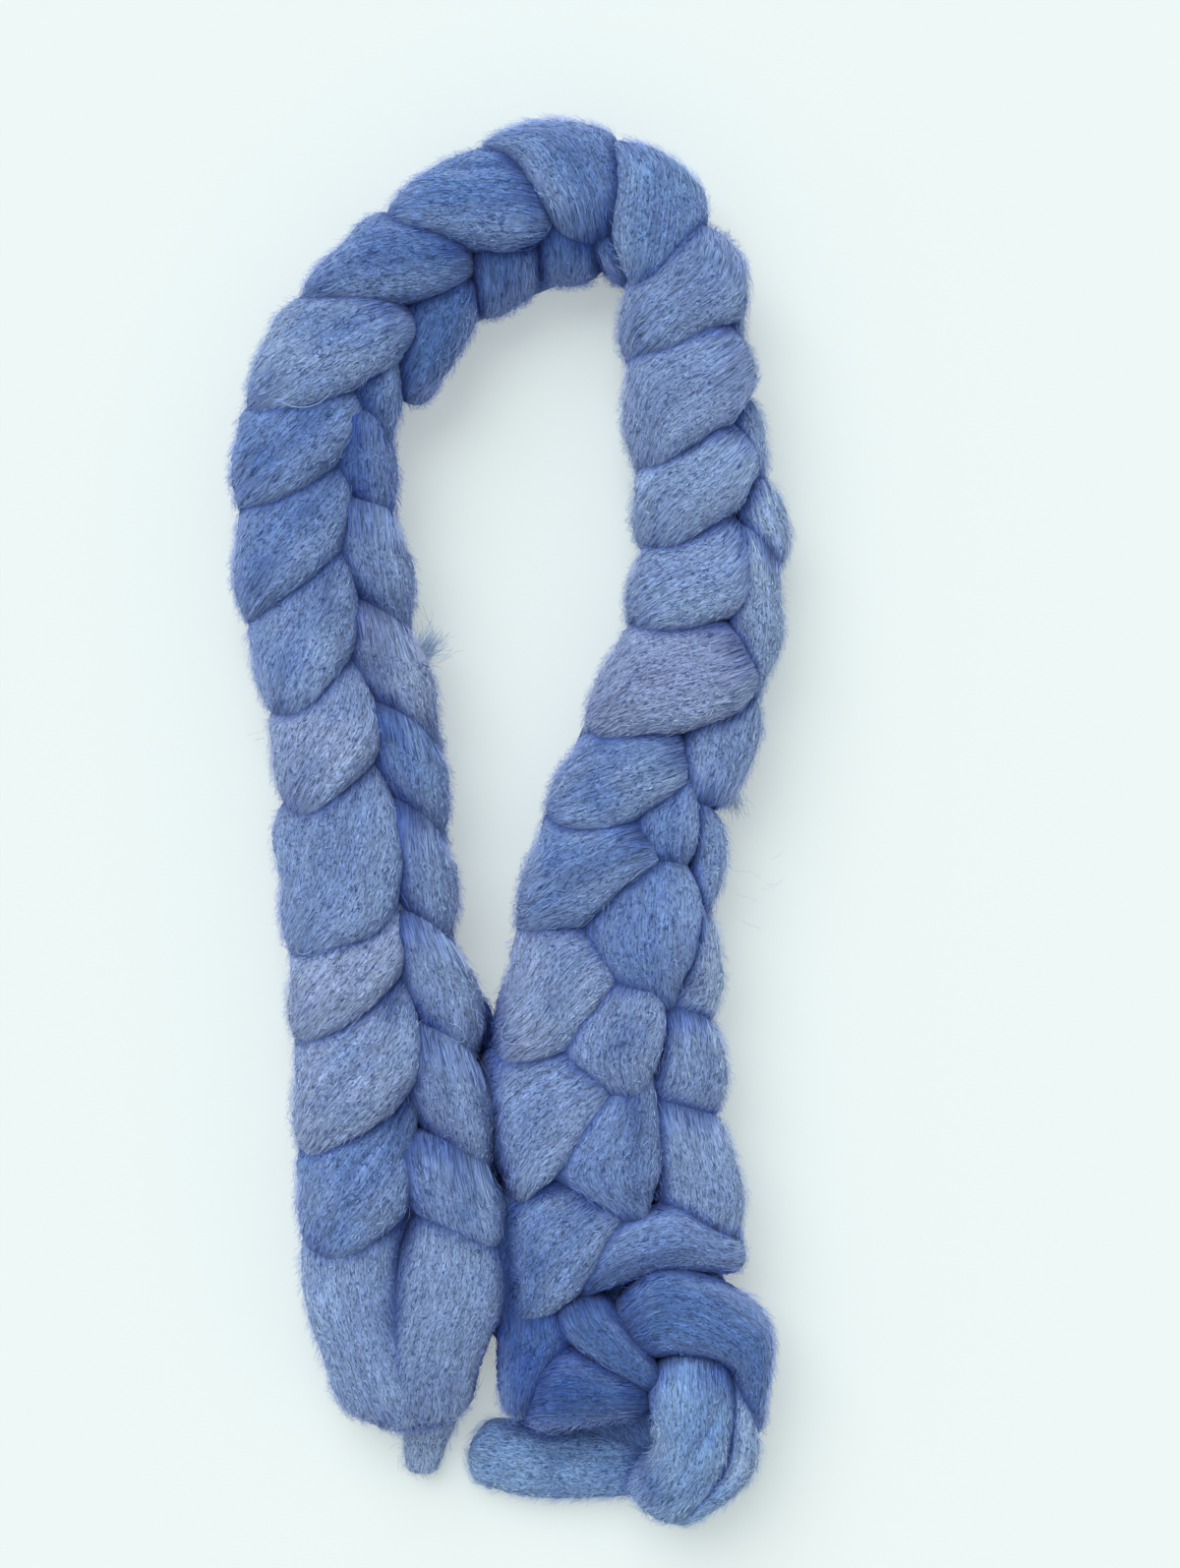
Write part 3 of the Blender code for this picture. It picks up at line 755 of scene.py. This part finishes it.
def open_cells(rolls):
    """For every cell of every roll, its area where wool can lie on it, and how much it is an edge."""
    areas, edges = [], []
    for wool in rolls:
        places = wool["places"]
        low, high = places[:-1], places[1:]
        low_after, high_after = np.roll(low, -1, 1), np.roll(high, -1, 1)
        out = np.cross(high_after - low, high - low_after)
        area = np.linalg.norm(out, axis=-1) / 2
        near = (wool["near"][:-1] + wool["near"][1:]) / 2
        hidden = wool["buried"][:-1] | wool["buried"][1:] | np.roll(wool["buried"], -1, 1)[:-1]
        shown = ~hidden & (low[..., 2] > MM)
        full, thinned, least = BARE_CREASE
        areas.append((area * shown * np.clip(full - thinned * near, least, 1)).ravel())
        sideways = np.hypot(*np.moveaxis(unit(out + 1e-12), -1, 0)[:2])
        edges.append((sideways ** EDGE_POWER * wool["open"][:-1, :, 0]).ravel())
    return np.concatenate(areas), np.concatenate(edges)


def lie_on(wool, ring, turn):
    """Places, outward directions and dyes on a roll, at fractional rings and turns. The dyes carry
    the painted light and shade.
    """
    ring = np.clip(ring, 0, RINGS - 1.001)
    low, part = np.floor(ring).astype(int), (ring % 1)[..., None]
    side, across = np.floor(turn).astype(int) % SIDES, (turn % 1)[..., None]
    after = (side + 1) % SIDES

    def mix(values):
        near = values[low, side] * (1 - across) + values[low, after] * across
        far = values[low + 1, side] * (1 - across) + values[low + 1, after] * across
        return near * (1 - part) + far * part

    return mix(wool["places"]), mix(wool["out"]), mix(wool["dye_and_shading"])


def hairs(rolls, areas, seed, count, points, length, width, stray, curl, rise, lift, tint,
          dark=0.0, warm=1.0):
    """Fine hairs that lie on the rolls, as tubes with their dyes, which take the painted light and
    shade of the wool under them.
    """
    chance = np.random.default_rng(seed)
    chosen = np.sort(chance.choice(len(areas), count, p=areas / areas.sum()))
    per_roll = (RINGS - 1) * SIDES
    which = chosen // per_roll
    t = np.linspace(-0.5, 0.5, points)[None, :]
    middles, outs, dyes_and_shading = [], [], []
    for number in np.unique(which):
        wool = rolls[number]
        cell = chosen[which == number] % per_roll
        n = len(cell)
        ring = (cell // SIDES + chance.uniform(0, 1, n))[:, None]
        turn = (cell % SIDES + chance.uniform(0, 1, n))[:, None]
        long = chance.uniform(*length, n)[:, None]
        course = chance.normal(0, stray, n)[:, None] + chance.normal(0, curl, n)[:, None] * t
        steps_on = np.stack((np.cos(course), np.sin(course)), -1)[:, :-1] / (points - 1)
        way = np.concatenate((np.zeros((n, 1, 2)), np.cumsum(steps_on, 1)), 1)
        way = (way - way.mean(1, keepdims=True)) * long[..., None]
        side = wool["side"][cell % SIDES][:, None]
        place, out, dye_and_shading = lie_on(wool, ring + way[..., 0] / wool["ring"], turn - way[..., 1] / side)
        height = (chance.uniform(*rise, n)[:, None] * (1 - (2 * t) ** 2)
                  + chance.uniform(*lift, n)[:, None] * (t + 0.5) ** 2)
        middles.append(place + out * (height * MM)[..., None])
        outs.append(out)
        tone = np.where(chance.uniform(0, 1, n) < dark, DARK_TONE, chance.normal(*tint, n))
        tone = tone[:, None] + np.where(tone < DARK_BELOW, 1, 0)[:, None] * DARK_TINGE
        dyes_and_shading.append(np.clip(dye_and_shading * tone[:, None] * warm, DEEPEST, PALEST))
    middle, out, dye_and_shading = np.vstack(middles), np.vstack(outs), np.vstack(dyes_and_shading)
    middle[..., 2] = np.maximum(middle[..., 2], HAIR_FLOOR * MM)
    return hair_tubes(middle, out, dye_and_shading, chance.uniform(*width, len(middle))[:, None, None] * MM / 2)


def wisps():
    """Tufts of long hairs that stand off the wool where it was pulled or torn."""
    chance = np.random.default_rng(WISP_SEED)
    middles, dyes_and_shading, widths = [], [], []
    for x, y, height, heading, fan, long, count, root, tone in WISPS:
        way = np.radians(heading + chance.normal(0, fan, count))[:, None]
        bend = chance.normal(0, WISP_BEND, count)[:, None]
        t = np.linspace(0, 1, WISP_POINTS)[None, :]
        wave = np.sin(t * WISP_WAVES + chance.uniform(0, 6, count)[:, None])
        turn = way + bend * t + WISP_WAVE * wave
        length = long * chance.uniform(*WISP_LENGTH, count)[:, None]
        step = np.stack((np.cos(turn), np.sin(turn)), -1) * length[..., None] / (WISP_POINTS - 1)
        start = np.array((x, y)) + chance.normal(0, root, (count, 1, 2)) - (MIDDLE_X, MIDDLE_Y)
        plan = start + np.cumsum(step, 1)
        rise = height + chance.uniform(-WISP_ROOTS, WISP_ROOTS, count)[:, None]
        rise = rise + chance.normal(0, WISP_RISE, count)[:, None] * t
        middles.append(np.concatenate((plan, np.maximum(rise, WISP_FLOOR)[..., None]), -1) * MM)
        tint = chance.uniform(*WISP_TINT, (count, 1, 1))
        dyes_and_shading.append(np.tile(DYES[tone], (count, WISP_POINTS, 1)) * tint)
        widths.append(chance.uniform(*WISP_WIDTH, (count, 1, 1)) * MM / 2)
    middle = np.vstack(middles)
    up = np.broadcast_to(np.array((0.0, 0.0, 1.0)), middle.shape)
    return hair_tubes(middle, up, np.vstack(dyes_and_shading), np.vstack(widths))


def hair_tubes(middle, out, dye_and_shading, width):
    """Thin three-sided tubes along lines of places, pointed at both ends."""
    along = unit(np.gradient(middle, axis=1) + 1e-12)
    side = unit(np.cross(out, along) + 1e-12)
    top = np.cross(along, side)
    corners = [middle + (side * math.cos(a) + top * math.sin(a)) * width for a in HAIR_CORNERS]
    rings = np.stack(corners, 2)[:, 1:-1].reshape(len(middle), -1, 3)
    ring_dye_and_shading = np.repeat(dye_and_shading[:, 1:-1], 3, 1)
    return (np.concatenate((middle[:, :1], rings, middle[:, -1:]), 1),
            np.concatenate((dye_and_shading[:, :1], ring_dye_and_shading, dye_and_shading[:, -1:]), 1))


def hair_faces(points):
    """The faces of one hair: a point, rings of three and another point."""
    last = points - 1
    faces = [(0, 1 + (k + 1) % 3, 1 + k) for k in range(3)]
    for ring in range(1, last - 3, 3):
        faces += [(ring + k, ring + (k + 1) % 3, ring + 3 + (k + 1) % 3) for k in range(3)]
        faces += [(ring + k, ring + 3 + (k + 1) % 3, ring + 3 + k) for k in range(3)]
    return faces + [(last - 3 + k, last - 3 + (k + 1) % 3, last) for k in range(3)]


def mesh_piece(name, places, faces, dye_and_shading, lay, material):
    """Makes one piece, with its dye, painted light and shade included, and its lay at every point,
    and joins it to the hank.
    """
    mesh = bpy.data.meshes.new(name)
    mesh.from_pydata(places, [], faces)
    tint = mesh.attributes.new("dye_and_shading", "FLOAT_COLOR", "POINT")
    colours = np.column_stack((dye_and_shading, np.ones(len(dye_and_shading)))).astype(np.float32)
    tint.data.foreach_set("color", colours.ravel())
    if lay is not None:
        run = mesh.attributes.new("lay", "FLOAT_VECTOR", "POINT")
        run.data.foreach_set("vector", lay.astype(np.float32).ravel())
    mesh.materials.append(material)
    mesh.shade_smooth()
    piece = bpy.data.objects.new(name, mesh)
    bpy.context.scene.collection.objects.link(piece)
    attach(piece, "root")
    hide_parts("roving_braid")


def hair_pieces(name, tubes, material):
    """Makes the hairs as joined meshes, so many to a piece."""
    places, dye_and_shading = tubes
    parts = np.array_split(np.arange(len(places)), math.ceil(len(places) / HAIRS_PER_PIECE))
    for number, part in enumerate(parts, 1):
        block = places[part]
        n, points = block.shape[:2]
        one = np.array(hair_faces(points))
        faces = (one[None] + (np.arange(n) * points)[:, None, None]).reshape(-1, 3)
        mesh_piece(f"{name}_{number}", block.reshape(-1, 3), faces, dye_and_shading[part].reshape(-1, 3), None,
                   material)


def arms_piece(rolls, material):
    """The arms, both tails and the filling between the limbs, as one piece."""
    faces = all_faces(rolls).tolist()
    for number in range(len(rolls)):
        faces += end_faces(RINGS, SIDES, number * RINGS * SIDES)
    points, dyes_and_shading, lays = (all_points(rolls, key) for key in ("places", "dye_and_shading", "lay"))
    mesh_piece("plaited_arms", points, faces, dyes_and_shading, lays, material)


def middle_piece(material):
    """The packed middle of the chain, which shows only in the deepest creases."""
    stations = np.array([(x, y, 0.0, half * MIDDLE_SHARE) for x, y, half in CHAIN_MIDDLE], float)
    middle, half, along, length = smooth_run(stations, MIDDLE_RINGS)
    side = unit(np.column_stack((-along[:, 1], along[:, 0], np.zeros(len(along)))))
    turn = np.linspace(0, math.pi, MIDDLE_ARC)
    floor = np.linspace(-MIDDLE_FLOOR_SHARE, MIDDLE_FLOOR_SHARE, MIDDLE_FLOOR)
    across = half * np.concatenate((np.cos(turn), floor))
    height = np.concatenate((np.sin(turn) * MIDDLE_HEIGHT, np.zeros(MIDDLE_FLOOR)))
    places = middle[:, None] + side[:, None] * across[..., None]
    places[..., 2] = height
    places -= np.array((MIDDLE_X, MIDDLE_Y, 0.0))
    rings, sides = places.shape[:2]
    faces = grid_faces(rings, sides, 0).tolist() + end_faces(rings, sides, 0)
    lay = np.stack(np.broadcast_arrays(length[:, None], across, height[None, :]), -1)
    dye_and_shading = np.tile(DYES["navy"], (rings * sides, 1))
    mesh_piece("packed_middle", places.reshape(-1, 3) * MM, faces, dye_and_shading, lay.reshape(-1, 3), material)


def node(tree, kind, inputs=None, **settings):
    """A new node, with its inputs set to values or linked to other nodes' outputs."""
    made = tree.nodes.new(kind)
    for key, value in settings.items():
        setattr(made, key, value)
    for key, value in (inputs or {}).items():
        if isinstance(value, bpy.types.NodeSocket):
            tree.links.new(value, made.inputs[key])
        else:
            made.inputs[key].default_value = value
    return made


def maths(tree, operation, *values):
    return node(tree, "ShaderNodeMath", dict(enumerate(values)), operation=operation).outputs[0]


def field(tree, lay, stretch, shift, detail, distortion):
    """Noise over the wool's lay, so that it follows the fibres."""
    moved = node(tree, "ShaderNodeVectorMath", {0: lay, 1: stretch, 2: shift},
                 operation="MULTIPLY_ADD").outputs[0]
    made = node(tree, "ShaderNodeTexNoise", {"Vector": moved, "Scale": 1.0, "Detail": detail,
                                             "Distortion": distortion})
    return made.outputs["Fac"]


def ranged(tree, value, low, high, to_low, to_high):
    made = node(tree, "ShaderNodeMapRange", {"Value": value, "From Min": low, "From Max": high,
                                             "To Min": to_low, "To Max": to_high})
    return made.outputs["Result"]


def pattern(tree, lay, stretch, shift, detail, distortion, darkest, lightest):
    noise = field(tree, lay, stretch, shift, detail, distortion)
    return ranged(tree, noise, NOISE_LOW, NOISE_HIGH, darkest, lightest)


def new_material(name, constants):
    """A material with a plain shader, whose constants are set directly."""
    material = bpy.data.materials.new(name)
    material.use_nodes = True
    tree = material.node_tree
    shader = tree.nodes["Principled BSDF"]
    for key, value in constants.items():
        shader.inputs[key].default_value = value
    return material, tree, shader


def wool_material():
    """Combed wool: mottled dye, fine streaks along the fibres, light curls and dark pits, which are
    painted shade between the fibres.
    """
    material, tree, shader = new_material("combed_wool", {
        "Roughness": 0.95, "Specular IOR Level": 0.12, "Sheen Weight": 0.25,
        "Sheen Roughness": 0.6, "Sheen Tint": (0.6, 0.7, 1.0, 1.0)})
    dye_and_shading = node(tree, "ShaderNodeAttribute", attribute_name="dye_and_shading").outputs["Color"]
    lay = node(tree, "ShaderNodeAttribute", attribute_name="lay").outputs["Vector"]
    mottle, streak, felt, strand = (pattern(tree, lay, *row) for row in (MOTTLE, STREAK, FELT, STRAND))
    pit = ranged(tree, field(tree, lay, *PIT_FIELD), PIT_FROM, PIT_FULL, 0.0, PIT_DEPTH)
    off_curl = maths(tree, "SUBTRACT", field(tree, lay, *CURL_FIELD), CURL_LINE)
    curl = ranged(tree, maths(tree, "ABSOLUTE", off_curl), 0.0, CURL_WIDTH, CURL_TONE, 1.0)
    fine = maths(tree, "MULTIPLY", maths(tree, "MULTIPLY", streak, felt), curl)
    tone = maths(tree, "MULTIPLY", maths(tree, "MULTIPLY", mottle, strand), fine)
    coloured = node(tree, "ShaderNodeVectorMath", {0: dye_and_shading, "Scale": tone}, operation="SCALE")
    # Painted shade in the pits between the fibres
    pitted = node(tree, "ShaderNodeMix", {0: pit, 6: coloured.outputs[0], 7: (*PAINTED_CREASE_SHADE, 1.0)},
                  data_type="RGBA")
    tree.links.new(pitted.outputs[2], shader.inputs["Base Color"])
    ridges = node(tree, "ShaderNodeBump", {"Strength": 0.8, "Distance": 0.003, "Height": strand})
    bump = node(tree, "ShaderNodeBump", {"Strength": 0.7, "Distance": 0.0008, "Height": fine,
                                         "Normal": ridges.outputs["Normal"]})
    tree.links.new(bump.outputs["Normal"], shader.inputs["Normal"])
    return material


def hair_material():
    """Single hairs, which only carry their own dye, with the painted light and shade of the wool
    under them.
    """
    material, tree, shader = new_material("loose_hair", {"Roughness": 0.8, "Specular IOR Level": 0.2})
    dye_and_shading = node(tree, "ShaderNodeAttribute", attribute_name="dye_and_shading")
    tree.links.new(dye_and_shading.outputs["Color"], shader.inputs["Base Color"])
    return material


def make_floor():
    bpy.ops.object.select_all(action="DESELECT")
    bpy.ops.mesh.primitive_plane_add(size=FLOOR_SIZE, location=(0, 0, FLOOR_LEVEL))
    floor = bpy.context.active_object
    floor.name = "pale_table"
    material, _, _ = new_material("pale_table", {
        "Base Color": (0.52, 0.575, 0.565, 1.0), "Roughness": 0.9, "Specular IOR Level": 0.1,
        "Emission Color": (0.92, 1.0, 0.98, 1.0), "Emission Strength": 0.34})
    floor.data.materials.append(material)


def make_light():
    world = bpy.data.worlds.new("soft_room")
    bpy.context.scene.world = world
    world.use_nodes = True
    background = world.node_tree.nodes["Background"]
    background.inputs["Color"].default_value = (0.97, 0.99, 1.0, 1.0)
    background.inputs["Strength"].default_value = 0.60
    lamp = bpy.data.lights.new("big_window", "SUN")
    lamp.angle = 0.9
    lamp.energy = 2.0
    light = bpy.data.objects.new("big_window", lamp)
    light.location = LIGHT_PLACE
    light.rotation_euler = (-light.location).to_track_quat("-Z", "Y").to_euler()
    bpy.context.scene.collection.objects.link(light)


def make_camera():
    camera = bpy.data.cameras.new("overhead")
    camera.sensor_width = 36.0
    camera.lens = camera.sensor_width * CAMERA_HEIGHT / FRAME_HEIGHT
    seen = bpy.data.objects.new("overhead", camera)
    seen.location = (*CAMERA_OVER, CAMERA_HEIGHT + CAMERA_PLANE)
    bpy.context.scene.collection.objects.link(seen)
    bpy.context.scene.camera = seen


bpy.context.scene.view_settings.view_transform = "Standard"
combed_wool = wool_material()
loose_hair = hair_material()
rolls = make_rolls()
press_together(rolls)
shade_creases(rolls)
arms_piece(rolls, combed_wool)
middle_piece(combed_wool)
areas, edges = open_cells(rolls)
hair_pieces("down", hairs(rolls, areas, **DOWN), loose_hair)
hair_pieces("halo", hairs(rolls, areas * (HALO_EVERYWHERE + edges), **HALO), loose_hair)
hair_pieces("long_curls", hairs(rolls, areas, **LONG_CURLS), loose_hair)
hair_pieces("wisps", wisps(), loose_hair)
make_floor()
make_light()
make_camera()
